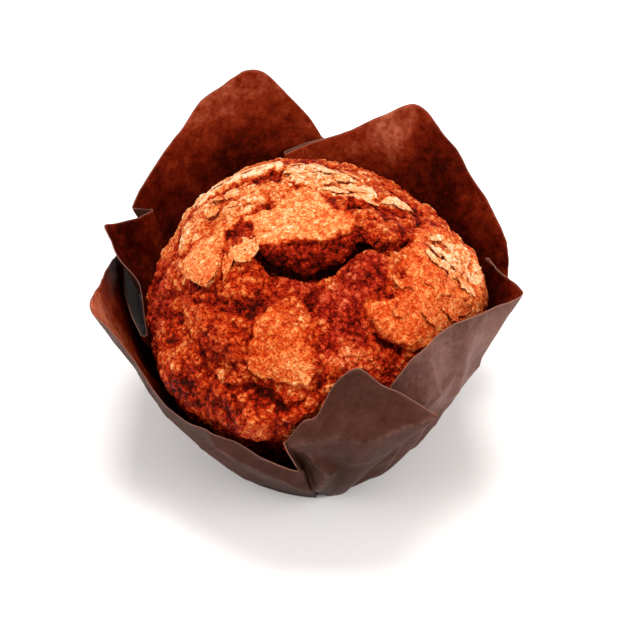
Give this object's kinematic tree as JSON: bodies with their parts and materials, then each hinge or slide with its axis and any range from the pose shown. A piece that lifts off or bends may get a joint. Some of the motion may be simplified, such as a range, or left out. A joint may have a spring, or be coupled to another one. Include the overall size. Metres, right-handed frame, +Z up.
{
  "type": "muffin",
  "caption": "Baked muffin with a burst, crumbly golden-red crown, standing in a dark brown folded-paper tulip wrapper with pointed petals.",
  "frame": {"origin": "middle of the flat underside of the paper wrapper's foot", "axes": "+Z up through the muffin, +X to the right seen from the front, -Y towards the front, where the crust's lip opens and one petal folds in over the cake"},
  "size_m": [0.0938, 0.0906, 0.0671],
  "materials": {
    "crust": "matte",
    "paper": "matte"
  },
  "bodies": {
    "root": {"muffin": "crust", "paper_wrapper": "paper"}
  },
  "joints": []
}
